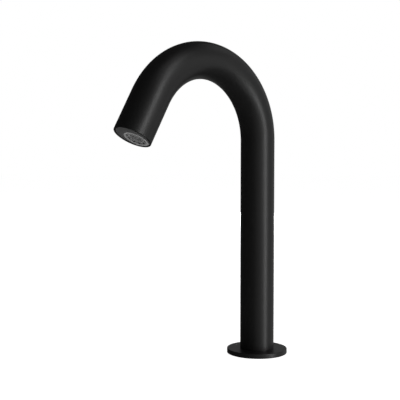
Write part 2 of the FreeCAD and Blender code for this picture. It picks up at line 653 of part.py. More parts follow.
PIECES = {
    "spout_tube": make_spout_tube,
    "base_insert": make_base_insert,
    "base_flange": make_base_flange,
    "flange_o_ring": make_flange_o_ring,
    "deck_gasket": make_deck_gasket,
    "threaded_shank": make_threaded_shank,
    "base_grub_screw": make_base_grub_screw,
    "rubber_clamp_washer": make_rubber_clamp_washer,
    "steel_clamp_washer": make_steel_clamp_washer,
    "back_nut": make_back_nut,
    "inlet_plug": make_inlet_plug,
    "lead_socket": make_lead_socket,
    "lead_socket_pins": make_lead_socket_pins,
    "inner_hose": make_inner_hose,
    "inlet_hose_ferrule": make_inlet_hose_ferrule,
    "outlet_hose_ferrule": make_outlet_hose_ferrule,
    "sensor_cable": make_sensor_cable,
    "outlet_block": make_outlet_block,
    "outlet_block_o_ring": make_outlet_block_o_ring,
    "outlet_grub_screw": make_outlet_grub_screw,
    "face_plate": make_face_plate,
    "sensor_housing": make_sensor_housing,
    "infrared_emitter": make_infrared_emitter,
    "infrared_receiver": make_infrared_receiver,
    "sensor_board": make_sensor_board,
    "sensor_potting": make_sensor_potting,
    "aerator_housing": make_aerator_housing,
    "aerator_screen": make_aerator_screen,
    "aerator_diffuser": make_aerator_diffuser,
    "flow_regulator": make_flow_regulator,
    "aerator_filter": make_aerator_filter,
    "aerator_washer": make_aerator_washer,
}

os.makedirs("parts", exist_ok=True)
for name, make in PIECES.items():
    shape = make()
    print(name, "valid", shape.isValid(), "solids", len(shape.Solids), "volume", round(shape.Volume, 1))
    shape.exportStep("parts/" + name + ".step")
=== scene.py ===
import math

import bmesh
import bpy
from mathutils import Matrix, Vector


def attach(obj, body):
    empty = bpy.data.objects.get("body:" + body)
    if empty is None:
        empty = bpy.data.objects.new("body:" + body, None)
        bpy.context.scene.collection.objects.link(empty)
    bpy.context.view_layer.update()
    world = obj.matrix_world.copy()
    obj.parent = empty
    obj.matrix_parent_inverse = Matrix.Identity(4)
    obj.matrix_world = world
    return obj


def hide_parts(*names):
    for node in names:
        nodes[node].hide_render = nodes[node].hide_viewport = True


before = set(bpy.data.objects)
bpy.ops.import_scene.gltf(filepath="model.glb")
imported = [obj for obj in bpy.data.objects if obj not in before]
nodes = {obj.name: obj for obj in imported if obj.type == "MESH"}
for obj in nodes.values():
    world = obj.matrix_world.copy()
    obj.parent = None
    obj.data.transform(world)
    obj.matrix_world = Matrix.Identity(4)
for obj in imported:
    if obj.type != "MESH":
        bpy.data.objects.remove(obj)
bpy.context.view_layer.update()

# ---------------------------------------------------------------------------------------------
# Camera: where the photograph was taken from, a little below the top of the straight column and
# looking slightly down. Places are in metres from the centre of the base flange's underside.
camera_place = (0.5517, -0.5814, 0.1885)
camera_bearing = 47.4
camera_dip = 3.04

camera = bpy.data.cameras.new("camera")
camera.sensor_width = 36
camera.lens = 75.8
camera.clip_start = 0.05
camera.clip_end = 20
camera_object = bpy.data.objects.new("camera", camera)
camera_object.location = camera_place
camera_object.rotation_euler = (math.radians(90 - camera_dip), 0, math.radians(camera_bearing))
bpy.context.scene.collection.objects.link(camera_object)
bpy.context.scene.camera = camera_object

# ---------------------------------------------------------------------------------------------
# Spout tube: brass tube bent to a swan neck that widens slightly round the bend, with a rounded
# rim, powder coated matt black. A hole at the foot and one behind the outlet take grub screws.
column_radius = 0.016
column_top = 0.2025
tube_seat = 0.0014
tube_wall = 0.0017
bend_radius = 0.070
bend_angle = math.radians(150)
outlet_radius = 0.0169
outlet_length = 0.0394
rim_round = 0.0005
base_screw_height = 0.010
base_screw_hole = 0.00215
outlet_screw_depth = 0.018
outlet_screw_hole = 0.00165
drill_reach = 0.004
tube_sides = 160
tube_bend_steps = 75
touching = 1e-5
corner_turn = math.radians(60)

bend_centre = Vector((0, -bend_radius, column_top))
outward = Vector((0, -math.sin(bend_angle), math.cos(bend_angle)))
bend_end = bend_centre + bend_radius * Vector((0, math.cos(bend_angle), math.sin(bend_angle)))
outlet_centre = bend_end + outward * outlet_length
outlet_axes = Matrix.Translation(outlet_centre) @ Matrix.Rotation(bend_angle, 4, "X")


class Field:
    """What a shader node gives out: a value over the surface, which can be added and multiplied."""

    def __init__(self, finish, socket):
        self.finish = finish
        self.socket = socket

    def combine(self, operation, first, second):
        return self.finish.node("ShaderNodeMath", {"operation": operation}, {0: first, 1: second})

    def __add__(self, other):
        return self.combine("ADD", self, other)

    def __radd__(self, other):
        return self.combine("ADD", other, self)

    def __mul__(self, other):
        return self.combine("MULTIPLY", self, other)


class Finish:
    """A material in the making: its surface shader, and the nodes that feed it."""

    def __init__(self, name):
        self.material = bpy.data.materials.new(name)
        self.material.use_nodes = True
        self.tree = self.material.node_tree
        self.tree.nodes.clear()
        out = self.tree.nodes.new("ShaderNodeOutputMaterial")
        self.shader = self.tree.nodes.new("ShaderNodeBsdfPrincipled")
        self.tree.links.new(self.shader.outputs[0], out.inputs["Surface"])
        self.place = self.node("ShaderNodeTexCoord", {}, {}, "Object")

    def node(self, kind, settings, sockets, output=0):
        """Add a node, give it its settings and then its sockets, and return one output."""
        made = self.tree.nodes.new(kind)
        for key, value in settings.items():
            if key == "stops":
                for element, (position, colour) in zip(made.color_ramp.elements, value):
                    element.position = position
                    element.color = (*colour, 1)
            else:
                setattr(made, key, value)
        self.plug(made, sockets)
        return Field(self, made.outputs[output])

    def plug(self, made, sockets):
        for key, value in sockets.items():
            if isinstance(value, Field):
                self.tree.links.new(value.socket, made.inputs[key])
            else:
                made.inputs[key].default_value = value

    def shade(self, **sockets):
        """Set the surface shader's sockets; an underscore stands for a space in a name."""
        self.plug(self.shader, {key.replace("_", " "): value for key, value in sockets.items()})

    def noise(self, scale, detail=2.0):
        sockets = {"Vector": self.place, "Scale": scale, "Detail": detail}
        return self.node("ShaderNodeTexNoise", {}, sockets, "Fac")

    def blend(self, factor, first, second):
        """A colour that runs from the first to the second as factor runs from 0 to 1."""
        stops = [(0.0, first), (1.0, second)]
        return self.node("ShaderNodeValToRGB", {"stops": stops}, {"Fac": factor}, "Color")

    def bump(self, height, depth, strength=1.0):
        sockets = {"Height": height, "Distance": depth, "Strength": strength}
        return self.node("ShaderNodeBump", {}, sockets, "Normal")


def grey(level):
    return (level, level, level)


def pick_only(piece):
    bpy.ops.object.select_all(action="DESELECT")
    piece.select_set(True)
    bpy.context.view_layer.objects.active = piece


def draw_circle(radius, sides, middle):
    """Start a piece with a circle, in edit mode and with the circle selected."""
    bpy.ops.object.select_all(action="DESELECT")
    bpy.ops.mesh.primitive_circle_add(vertices=sides, radius=radius, location=middle)
    bpy.ops.object.transform_apply(location=True)
    bpy.ops.object.mode_set(mode="EDIT")
    bpy.ops.mesh.select_all(action="SELECT")
    return bpy.context.active_object


def run_on(move):
    bpy.ops.mesh.extrude_region_move(TRANSFORM_OT_translate={"value": move})


def turn_on(middle, centre, angle, steps, growth=1.0):
    """Extrude the open end round a centre in the plane x = 0, in steps, and widen it evenly.

    The rotate operator counts angles the other way from a matrix, hence its minus.
    """
    middle = Vector(middle)
    turn = Matrix.Rotation(angle / steps, 3, "X")
    wide = 1.0
    for number in range(steps):
        middle = centre + turn @ (middle - centre)
        wider = 1 + (growth - 1) * (number + 1) / steps
        bpy.ops.mesh.extrude_region_move()
        bpy.ops.transform.rotate(value=-angle / steps, orient_axis="X", center_override=centre)
        bpy.ops.transform.resize(value=[wider / wide] * 3, center_override=middle)
        wide = wider


def end_edit():
    """Leave edit mode with the mesh joined up and its faces outwards."""
    bpy.ops.mesh.select_mode(type="VERT")
    bpy.ops.mesh.select_all(action="SELECT")
    bpy.ops.mesh.remove_doubles(threshold=1e-7)
    bpy.ops.mesh.normals_make_consistent(inside=False)
    bpy.ops.object.mode_set(mode="OBJECT")


def select_edges(piece, test):
    """In edit mode, select only the edges that pass a test."""
    bpy.ops.mesh.select_mode(type="EDGE")
    bpy.ops.mesh.select_all(action="DESELECT")
    mesh = bmesh.from_edit_mesh(piece.data)
    for edge in mesh.edges:
        edge.select_set(test(edge))
    bmesh.update_edit_mesh(piece.data)


def modify(piece, kind, **settings):
    """Give the piece a modifier with these settings, and apply it."""
    pick_only(piece)
    modifier = piece.modifiers.new(kind.lower(), kind)
    for key, value in settings.items():
        setattr(modifier, key, value)
    bpy.ops.object.modifier_apply(modifier=modifier.name)


def carve(piece, cutter, operation="DIFFERENCE"):
    modify(piece, "BOOLEAN", object=cutter, operation=operation, solver="EXACT")
    bpy.data.objects.remove(cutter)


def drill_wall(piece, radius, place, away):
    """Drill a round hole through the tube's wall at a place on its surface."""
    bpy.ops.object.select_all(action="DESELECT")
    bpy.ops.mesh.primitive_cylinder_add(
        vertices=32, radius=radius, depth=2 * drill_reach, location=place,
        rotation=away.to_track_quat("Z", "Y").to_euler())
    carve(piece, bpy.context.active_object)


def to_outlet(piece):
    """Move a piece that is drawn in the outlet's own axes to the end of the spout."""
    pick_only(piece)
    piece.matrix_world = outlet_axes @ piece.matrix_world
    bpy.ops.object.transform_apply(location=True, rotation=True, scale=True)


def fit(piece, name, finish, body, node, smooth=35):
    """Name, coat and shade a finished piece, and let it stand for its node on its body."""
    pick_only(piece)
    piece.name = piece.data.name = name
    piece.data.materials.clear()
    piece.data.materials.append(finish.material)
    bpy.ops.object.shade_smooth_by_angle(angle=math.radians(smooth))
    modify(piece, "WEIGHTED_NORMAL", keep_sharp=True, weight=80)
    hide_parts(node)
    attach(piece, body)


black_coat = Finish("matt_black_coat")
peel = black_coat.noise(1400, 3) * 0.7 + black_coat.noise(5200) * 0.3
cloud = black_coat.noise(18, 3)
black_coat.shade(
    Base_Color=black_coat.blend(cloud, grey(0.0085), grey(0.0105)),
    Roughness=0.35 + cloud * 0.05,
    Normal=black_coat.bump(peel, 0.00002, 0.35),
)


def on_tube_end(edge):
    """Whether an edge is a corner of the outlet's rim."""
    return (all(abs((corner.co - outlet_centre).dot(outward)) < touching for corner in edge.verts)
            and abs(edge.calc_face_angle(0)) > corner_turn)


spout = draw_circle(column_radius, tube_sides, (0, 0, tube_seat))
run_on((0, 0, column_top - tube_seat))
turn_on((0, 0, column_top), bend_centre, bend_angle, tube_bend_steps,
        outlet_radius / column_radius)
run_on(outward * outlet_length)
end_edit()
modify(spout, "SOLIDIFY", thickness=tube_wall, offset=-1, use_even_offset=True)
bpy.ops.object.mode_set(mode="EDIT")
select_edges(spout, on_tube_end)
bpy.ops.mesh.bevel(offset=rim_round, segments=5, affect="EDGES")
bpy.ops.object.mode_set(mode="OBJECT")
drill_wall(spout, base_screw_hole, Vector((0, column_radius, base_screw_height)), Vector((0, 1, 0)))
drill_wall(spout, outlet_screw_hole,
           outlet_axes @ Vector((0, -outlet_radius, -outlet_screw_depth)),
           outlet_axes.to_3x3() @ Vector((0, -1, 0)))
fit(spout, "swan_neck", black_coat, "tap", "spout_tube", smooth=50)

# ---------------------------------------------------------------------------------------------
# Base flange: a disc turned from brass and coated like the tube, its edges broken. Below it has
# a step for the tube, a groove for an O-ring in its bore and a groove for the deck gasket.
flange_radius = 0.0286
flange_thickness = 0.0044
flange_edge = 0.0004
flange_bore = 0.01605
shank_opening = 0.0123
gasket_inner = 0.020
gasket_outer = 0.024
gasket_thickness = 0.0016
base_ring_section = 0.0011
base_ring_height = 0.0028
ring_low = base_ring_height - base_ring_section / 2
ring_high = base_ring_height + base_ring_section / 2
ring_groove = flange_bore + base_ring_section
flange_sides = 192


def draw_rings(rings, sides, x, y):
    """Start a piece as a skin over rings, each a (radius, height), round the vertical at x, y."""
    radius, height = rings[0]
    piece = draw_circle(radius, sides, (x, y, height))
    for next_radius, next_height in rings[1:]:
        run_on((0, 0, next_height - height))
        wider = next_radius / radius
        bpy.ops.transform.resize(value=(wider, wider, 1), center_override=(x, y, next_height))
        radius, height = next_radius, next_height
    return piece


def lathe(profile, sides, y=0.0):
    """Turn a closed profile of (radius, height) corners about the vertical at 0, y."""
    piece = draw_rings(profile + profile[:1], sides, 0, y)
    end_edit()
    return piece


def round_edges(piece, width, segments=3, sharp=40):
    """Round the edges that turn by more than sharp degrees."""
    modify(piece, "BEVEL", width=width, segments=segments, limit_method="ANGLE",
           angle_limit=math.radians(sharp))


def on_flange_rim(edge):
    """Whether an edge runs round the outside of the flange, at its top or bottom."""
    low, high = (corner.co.z for corner in edge.verts)
    return (all(abs(corner.co.xy.length - flange_radius) < touching for corner in edge.verts)
            and abs(low - high) < touching)


flange = lathe([
    (shank_opening, 0),
    (gasket_inner, 0),
    (gasket_inner, gasket_thickness),
    (gasket_outer, gasket_thickness),
    (gasket_outer, 0),
    (flange_radius, 0),
    (flange_radius, flange_thickness),
    (flange_bore, flange_thickness),
    (flange_bore, ring_high),
    (ring_groove, ring_high),
    (ring_groove, ring_low),
    (flange_bore, ring_low),
    (flange_bore, tube_seat),
    (shank_opening, tube_seat),
], flange_sides)
bpy.ops.object.mode_set(mode="EDIT")
select_edges(flange, on_flange_rim)
bpy.ops.mesh.bevel(offset=flange_edge, segments=4, affect="EDGES")
bpy.ops.object.mode_set(mode="OBJECT")
fit(flange, "foot_flange", black_coat, "tap", "base_flange")

# ---------------------------------------------------------------------------------------------
# Seals: soft black rubber rings and washers with rounded edges, in the flange, under it, round
# the outlet block and behind the aerator. The thick one is pressed up against the deck.
ring_squash = 0.97
outlet_ring_section = 0.0014
outlet_ring_depth = 0.022
block_radius = 0.01515
aerator_offset = -0.0042
washer_inner = 0.0070
washer_outer = 0.0087
washer_front = -0.00982
washer_back = -0.01148
round_sides = 96


def softened(node, width, segments=2, sharp=40):
    """A copy of a CAD node with its triangles joined up and its sharp edges rounded."""
    piece = bpy.data.objects.new(node + "_rounded", nodes[node].data.copy())
    bpy.context.scene.collection.objects.link(piece)
    pick_only(piece)
    bpy.ops.object.mode_set(mode="EDIT")
    bpy.ops.mesh.customdata_custom_splitnormals_clear()
    bpy.ops.mesh.select_all(action="SELECT")
    bpy.ops.mesh.remove_doubles(threshold=1e-6)
    bpy.ops.mesh.dissolve_limited(angle_limit=math.radians(0.5))
    bpy.ops.object.mode_set(mode="OBJECT")
    round_edges(piece, width, segments, sharp)
    return piece


rubber = Finish("black_rubber")
grain = rubber.noise(2600, 3)
rubber.shade(
    Base_Color=rubber.blend(rubber.noise(220, 3), grey(0.012), grey(0.022)),
    Roughness=0.62 + grain * 0.2,
    Normal=rubber.bump(grain, 0.00003, 0.5),
)


def o_ring(name, node, inner, section, middle_height, at_end):
    """A moulded ring, pressed a little flat by its groove."""
    bpy.ops.object.select_all(action="DESELECT")
    bpy.ops.mesh.primitive_torus_add(
        major_radius=inner + section / 2, minor_radius=section / 2,
        major_segments=round_sides, minor_segments=20, location=(0, 0, middle_height))
    ring = bpy.context.active_object
    bpy.ops.transform.resize(value=(1, 1, ring_squash))
    bpy.ops.object.transform_apply(location=True, rotation=True, scale=True)
    if at_end:
        to_outlet(ring)
    fit(ring, name, rubber, "tap", node)


o_ring("tube_ring", "flange_o_ring", flange_bore, base_ring_section, base_ring_height, False)
o_ring("block_ring", "outlet_block_o_ring", block_radius - outlet_ring_section,
       outlet_ring_section, -outlet_ring_depth, True)
for name, node, body in (
        ("gasket", "deck_gasket", "tap"),
        ("rubber_washer", "rubber_clamp_washer", "clamp_washers")):
    fit(softened(node, 0.0003, 3), name, rubber, body, node)

washer = lathe([
    (washer_inner, washer_back),
    (washer_outer, washer_back),
    (washer_outer, washer_front),
    (washer_inner, washer_front),
], round_sides, aerator_offset)
round_edges(washer, 0.0003)
to_outlet(washer)
fit(washer, "cartridge_seal", rubber, "aerator_seal", "aerator_washer")

# ---------------------------------------------------------------------------------------------
# Fixing under the deck: a brass shank with a fine 24 mm thread, screwed into a brass insert in the
# tube, a nut on the same thread and a zinc-plated washer. The threads mesh and share their pitch.
shank_radius = 0.012
shank_bore = 0.010
shank_bottom = -0.058
shank_top = 0.0159
shank_chamfer = 0.0008
shank_pitch = 0.0015
thread_depth = 0.0010
thread_steps = 48
cutter_margin = 0.0001
nut_low = -0.03452
nut_high = -0.02552
nut_bore = 0.01125
nut_groove = 0.01245
nut_sleeve = 0.0122
nut_chamfer = 0.0008


def thread_coil(radius, reach, pitch, low, high, y=0.0, phase=0.0):
    """A right-hand coil of V section that cuts a thread: its point is at radius, its base at reach.

    It starts a turn or more below low, so that the thread runs out at that end. Its phase, as a
    share of the pitch, lets a nut's ridges lie in its shank's grooves.
    """
    depth = reach - radius
    start = pitch * (math.floor(low / pitch) - 1 + phase)
    turns = math.ceil((high - start) / pitch - 1e-6)
    bpy.ops.object.select_all(action="DESELECT")
    bpy.ops.mesh.primitive_circle_add(
        vertices=3, radius=abs(depth) * 2 / 3, location=(radius + depth * 2 / 3, 0, start),
        rotation=(math.pi / 2, math.copysign(math.pi / 2, -depth), 0))
    bpy.ops.object.transform_apply(location=True, rotation=True)
    coil = bpy.context.active_object
    modify(coil, "SCREW", axis="Z", angle=math.tau, screw_offset=pitch, iterations=turns,
           steps=thread_steps, render_steps=thread_steps)
    bpy.ops.object.mode_set(mode="EDIT")
    bpy.ops.mesh.select_all(action="SELECT")
    bpy.ops.mesh.fill_holes(sides=3)
    bpy.ops.mesh.normals_make_consistent(inside=False)
    bpy.ops.object.mode_set(mode="OBJECT")
    coil.location = (0, y, 0)
    bpy.ops.object.transform_apply(location=True)
    return coil


brass = Finish("turned_brass")
tool_marks = brass.node(
    "ShaderNodeTexWave", {"bands_direction": "Z"},
    {"Vector": brass.place, "Scale": 1200.0, "Distortion": 1.5, "Detail": 2.0}, "Fac")
tarnish = brass.noise(90, 4)
brass.shade(
    Base_Color=brass.blend(tarnish, (0.62, 0.42, 0.17), (0.78, 0.56, 0.27)),
    Metallic=1.0,
    Roughness=0.24 + tarnish * 0.16,
    Normal=brass.bump(tool_marks, 0.000004, 0.5),
)

shank = lathe([
    (shank_bore, shank_bottom),
    (shank_radius - shank_chamfer, shank_bottom),
    (shank_radius, shank_bottom + shank_chamfer),
    (shank_radius, shank_top - shank_chamfer),
    (shank_radius - shank_chamfer, shank_top),
    (shank_bore, shank_top),
], round_sides)
carve(shank, thread_coil(shank_radius - thread_depth, shank_radius + cutter_margin, shank_pitch,
                         shank_bottom, shank_top + shank_pitch))
fit(shank, "shank", brass, "tap", "threaded_shank", smooth=30)

fit(softened("base_insert", 0.0002), "insert", brass, "tap", "base_insert")

nut = softened("back_nut", 0.0002, 3)
carve(nut, lathe([
    (nut_bore, nut_low + nut_chamfer),
    (nut_sleeve, nut_low + nut_chamfer / 2),
    (nut_sleeve, nut_high - nut_chamfer / 2),
    (nut_bore, nut_high - nut_chamfer),
], round_sides), "UNION")
carve(nut, thread_coil(nut_groove, nut_bore - cutter_margin / 2, shank_pitch,
                       nut_low, nut_high + shank_pitch, phase=0.5))
fit(nut, "nut", brass, "nut", "back_nut", smooth=30)

steel = Finish("zinc_plated_steel")
spangle = steel.noise(500, 3)
steel.shade(
    Base_Color=steel.blend(spangle, grey(0.46), (0.60, 0.60, 0.62)),
    Metallic=1.0,
    Roughness=0.30 + steel.noise(60, 3) * 0.18,
    Normal=steel.bump(steel.noise(3000), 0.000004, 0.5),
)
fit(softened("steel_clamp_washer", 0.0003, 3), "steel_washer", steel,
    "clamp_washers", "steel_clamp_washer")

# ---------------------------------------------------------------------------------------------
# Grub screws: small stainless screws with hexagon sockets. One locks the shank in the foot of the
# tube, the other holds the outlet block. Both sit just below the tube's surface.
for name, node in (("foot_grub_screw", "base_grub_screw"), ("end_grub_screw", "outlet_grub_screw")):
    fit(softened(node, 0.0001), name, steel, "tap", node)

# ---------------------------------------------------------------------------------------------
# Inlet plug: turned brass with two spanner flats, a hose nipple above, and below a threaded water
# inlet beside the lead's round socket.
plug_foot = -0.066
socket_foot = -0.0725
hose_offset = -0.0042
cable_offset = 0.0068
fine_pitch = 0.001
inlet_groove = 0.00505
inlet_bore = 0.0045
inlet_thread_length = 0.008
nose_radius = 0.0040
nose_groove = 0.00338
nose_shoulder = 0.001

plug = softened("inlet_plug", 0.00015)
carve(plug, thread_coil(inlet_groove, inlet_bore - cutter_margin, fine_pitch,
                        plug_foot, plug_foot + inlet_thread_length, hose_offset))
fit(plug, "foot_plug", brass, "tap", "inlet_plug")

black_plastic = Finish("black_moulding")
black_plastic.shade(
    Base_Color=black_plastic.blend(black_plastic.noise(240, 3), grey(0.010), grey(0.016)),
    Roughness=0.42 + black_plastic.noise(900) * 0.1,
    Normal=black_plastic.bump(black_plastic.noise(2600), 0.00001, 0.3),
)
socket = softened("lead_socket", 0.00015)
carve(socket, thread_coil(nose_groove, nose_radius + cutter_margin, fine_pitch,
                          socket_foot, plug_foot - nose_shoulder, cable_offset))
fit(socket, "socket", black_plastic, "tap", "lead_socket")

gold = Finish("gilt_contacts")
gold.shade(
    Base_Color=gold.blend(gold.noise(900), (0.83, 0.60, 0.22), (0.93, 0.70, 0.30)),
    Metallic=1.0,
    Roughness=0.18 + gold.noise(2000) * 0.08,
)
fit(softened("lead_socket_pins", 0.0002, 3, 60), "socket_pins", gold, "tap",
    "lead_socket_pins")

# ---------------------------------------------------------------------------------------------
# Water hose: a reinforced silicone hose from the plug's nipple, up the column and round the bend
# to the outlet block's nipple. A crimped steel ferrule holds each end.
hose_radius = 0.005
hose_wall = 0.0015
hose_foot = -0.048
block_back = 0.024
hose_sides = 40
route_bend_steps = 60
ferrule_radius = 0.0056
ferrule_length = 0.009
ferrule_clearance = 0.00002
ferrule_gap = 0.002
crimp_count = 3
first_crimp = 0.2
crimp_spacing = 0.3
crimp_half_width = 0.0007
crimp_floor_half_width = 0.0004
crimp_depth = 0.00022
ferrule_sides = 64


def run_up(offset, radius, sides, depth):
    """Draw an open tube up the column, round the bend and on to a depth in the outlet end."""
    piece = draw_circle(radius, sides, (0, offset, hose_foot))
    run_on((0, 0, column_top - hose_foot))
    turn_on((0, offset, column_top), bend_centre, bend_angle, route_bend_steps)
    run_on(outward * (outlet_length - depth))
    return piece


def ferrule(name, node, low, at_end):
    """A steel sleeve with crimped grooves round it, spaced by shares of its length."""
    bore = hose_radius + ferrule_clearance
    floor_radius = ferrule_radius - crimp_depth
    profile = [(bore, low + ferrule_length), (bore, low), (ferrule_radius, low)]
    for number in range(crimp_count):
        groove = low + ferrule_length * (first_crimp + crimp_spacing * number)
        profile += [(ferrule_radius, groove - crimp_half_width),
                    (floor_radius, groove - crimp_floor_half_width),
                    (floor_radius, groove + crimp_floor_half_width),
                    (ferrule_radius, groove + crimp_half_width)]
    profile.append((ferrule_radius, low + ferrule_length))
    piece = lathe(profile, ferrule_sides, hose_offset)
    round_edges(piece, 0.0001, 2, 20)
    if at_end:
        to_outlet(piece)
    fit(piece, name, steel, "tap", node)


silicone = Finish("reinforced_silicone")
haze = silicone.noise(160, 3)
silicone.shade(
    Base_Color=silicone.blend(haze, (0.50, 0.53, 0.55), (0.60, 0.63, 0.64)),
    Roughness=0.38 + haze * 0.12,
    Normal=silicone.bump(silicone.noise(1500, 3), 0.00003, 0.4),
)
hose = run_up(hose_offset, hose_radius, hose_sides, block_back)
end_edit()
modify(hose, "SOLIDIFY", thickness=hose_wall, offset=-1, use_even_offset=True)
fit(hose, "water_hose", silicone, "tap", "inner_hose")
ferrule("foot_ferrule", "inlet_hose_ferrule", hose_foot + ferrule_gap, False)
ferrule("end_ferrule", "outlet_hose_ferrule", -block_back - ferrule_gap - ferrule_length, True)

# ---------------------------------------------------------------------------------------------
# Sensor cable: a round black cable from the lead's socket, up the column beside the hose and round
# the outside of the bend, then across in a shallow S into the sensor's resin.
cable_radius = 0.0018
sensor_offset = 0.0104
s_radius = 0.020
s_start = 0.0392
cable_end = 0.014
cable_sides = 24
s_steps = 12
s_turn = math.acos(1 - (sensor_offset - cable_offset) / (2 * s_radius))
s_end = 2 * s_radius * math.sin(s_turn) - s_start

jacket = Finish("cable_jacket")
jacket_grain = jacket.noise(1800, 3)
jacket.shade(
    Base_Color=jacket.blend(jacket.noise(150, 3), grey(0.016), grey(0.024)),
    Roughness=0.5 + jacket_grain * 0.15,
    Normal=jacket.bump(jacket_grain, 0.00002, 0.4),
)
cable = run_up(cable_offset, cable_radius, cable_sides, s_start)
turn_on(outlet_axes @ Vector((0, cable_offset, -s_start)),
        outlet_axes @ Vector((0, cable_offset + s_radius, -s_start)), -s_turn, s_steps)
turn_on(outlet_axes @ Vector((0, (cable_offset + sensor_offset) / 2, (s_end - s_start) / 2)),
        outlet_axes @ Vector((0, sensor_offset - s_radius, s_end)), s_turn, s_steps)
run_on(outward * (-cable_end - s_end))
bpy.ops.mesh.select_all(action="SELECT")
bpy.ops.mesh.fill_holes(sides=0)
end_edit()
fit(cable, "sensor_lead", jacket, "tap", "sensor_cable")

# ---------------------------------------------------------------------------------------------
# Face plate: a moulded plate that infrared light passes and the eye sees as smooth dark grey. It
# is clipped into the outlet end, half a millimetre below the rim, round the aerator's collar.
smoked = Finish("infrared_plate")
smoked.shade(
    Base_Color=smoked.blend(smoked.noise(60), grey(0.098), grey(0.108)),
    Roughness=0.34 + smoked.noise(900) * 0.06,
    Normal=smoked.bump(smoked.noise(2500), 0.00001, 0.2),
)
fit(softened("face_plate", 0.0002, 3), "plate", smoked, "tap", "face_plate")

# ---------------------------------------------------------------------------------------------
# Outlet block: one moulding of grey plastic. Its collar shows round the aerator; behind it are the
# aerator's threaded socket, the sensor's pocket and the hose nipple.
grey_plastic = Finish("grey_moulding")
flow_marks = grey_plastic.noise(300, 3)
grey_plastic.shade(
    Base_Color=grey_plastic.blend(flow_marks, grey(0.43), grey(0.48)),
    Roughness=0.45 + flow_marks * 0.08,
    Normal=grey_plastic.bump(grey_plastic.noise(3000), 0.00001, 0.3),
)
aerator_pitch = 0.001
socket_bore = 0.00878
socket_groove = 0.00957
socket_reach = 0.00874
socket_front = -0.0030
socket_back = -0.0094
sleeve_outer = 0.0094
sleeve_inner = 0.0093
sleeve_chamfer = 0.0004


def cut_aerator_thread(piece, radius, reach, low, high, phase=0.0):
    """Cut the aerator's thread, inside or outside, into a piece at the outlet."""
    coil = thread_coil(radius, reach, aerator_pitch, low, high, aerator_offset, phase)
    to_outlet(coil)
    carve(piece, coil)


block = softened("outlet_block", 0.00015)
sleeve = lathe([
    (sleeve_outer, socket_back),
    (sleeve_outer, socket_front),
    (sleeve_inner, socket_front),
    (socket_bore, socket_front - sleeve_chamfer),
    (socket_bore, socket_back + sleeve_chamfer),
    (sleeve_inner, socket_back),
], round_sides, aerator_offset)
to_outlet(sleeve)
carve(block, sleeve, "UNION")
cut_aerator_thread(block, socket_groove, socket_reach, socket_back, socket_front, phase=0.5)
fit(block, "block", grey_plastic, "tap", "outlet_block")

# ---------------------------------------------------------------------------------------------
# Sensor: a capsule behind the face plate. A clear diode sends infrared light and a dark one sees
# it come back from a hand; they stand on a small circuit board, and resin closes the capsule.
eye_spacing = 0.0088
eye_height = 0.0102
eye_radius = 0.0015
eye_foot_radius = 0.0017
eye_foot_height = 0.001
eye_foot_edge = 0.0001
eye_front = -0.0034
eye_sides = 40
dome_rings = 11
dome_step = math.radians(8.8)
receiver_edge = 0.0002
board_front = -0.0092


def stack(rings, sides, x, y):
    """A closed solid over rings, each a (radius, height), from its foot up to its top."""
    piece = draw_rings(rings, sides, x, y)
    bpy.ops.mesh.select_all(action="SELECT")
    bpy.ops.mesh.fill_holes(sides=0)
    end_edit()
    return piece


def diode(name, node, finish, x, nose):
    """A diode on its foot ring, with the rings that shape its nose."""
    foot_top = board_front + eye_foot_height
    foot = [(eye_foot_radius - eye_foot_edge, board_front),
            (eye_foot_radius, board_front + eye_foot_edge),
            (eye_foot_radius, foot_top - eye_foot_edge),
            (eye_foot_radius - eye_foot_edge, foot_top),
            (eye_radius, foot_top)]
    piece = stack(foot + nose, eye_sides, x, eye_height)
    to_outlet(piece)
    fit(piece, name, finish, "tap", node)


fit(softened("sensor_housing", 0.00012), "sensor_capsule", black_plastic, "tap",
    "sensor_housing")

clear_resin = Finish("clear_diode")
clear_resin.shade(
    Base_Color=clear_resin.blend(clear_resin.noise(400), (0.30, 0.34, 0.44), (0.38, 0.42, 0.50)),
    Roughness=0.08 + clear_resin.noise(700) * 0.05,
)
dome = []
for number in range(dome_rings):
    angle = dome_step * number
    dome.append((eye_radius * math.cos(angle), eye_front - eye_radius * (1 - math.sin(angle))))
diode("emitter", "infrared_emitter", clear_resin, eye_spacing / 2, dome)

dark_resin = Finish("dark_diode")
dark_resin.shade(
    Base_Color=dark_resin.blend(dark_resin.noise(400), (0.020, 0.014, 0.024), (0.034, 0.026, 0.040)),
    Roughness=0.10 + dark_resin.noise(700) * 0.05,
)
diode("receiver", "infrared_receiver", dark_resin, -eye_spacing / 2, [
    (eye_radius, eye_front - receiver_edge), (eye_radius - receiver_edge, eye_front)])

board = Finish("green_board")
copper = board.node(
    "ShaderNodeTexBrick", {"offset": 0.5},
    {"Vector": board.place, "Color1": (0, 0, 0, 1), "Color2": (0, 0, 0, 1), "Mortar": (1, 1, 1, 1),
     "Scale": 260.0, "Mortar Size": 0.04, "Mortar Smooth": 0.2}, "Fac")
board.shade(
    Base_Color=board.blend(copper, (0.014, 0.10, 0.036), (0.05, 0.24, 0.08)),
    Roughness=0.28 + board.noise(900) * 0.1,
    Normal=board.bump(copper, 0.00002, 0.6),
)
fit(softened("sensor_board", 0.00008), "circuit_board", board, "tap", "sensor_board")

resin = Finish("potting_resin")
resin.shade(
    Base_Color=resin.blend(resin.noise(350, 3), (0.011, 0.012, 0.014), (0.020, 0.021, 0.024)),
    Roughness=0.18 + resin.noise(500) * 0.12,
    Normal=resin.bump(resin.noise(260), 0.00008, 0.4),
)
fit(softened("sensor_potting", 0.0003, 3), "potting", resin, "tap", "sensor_potting")

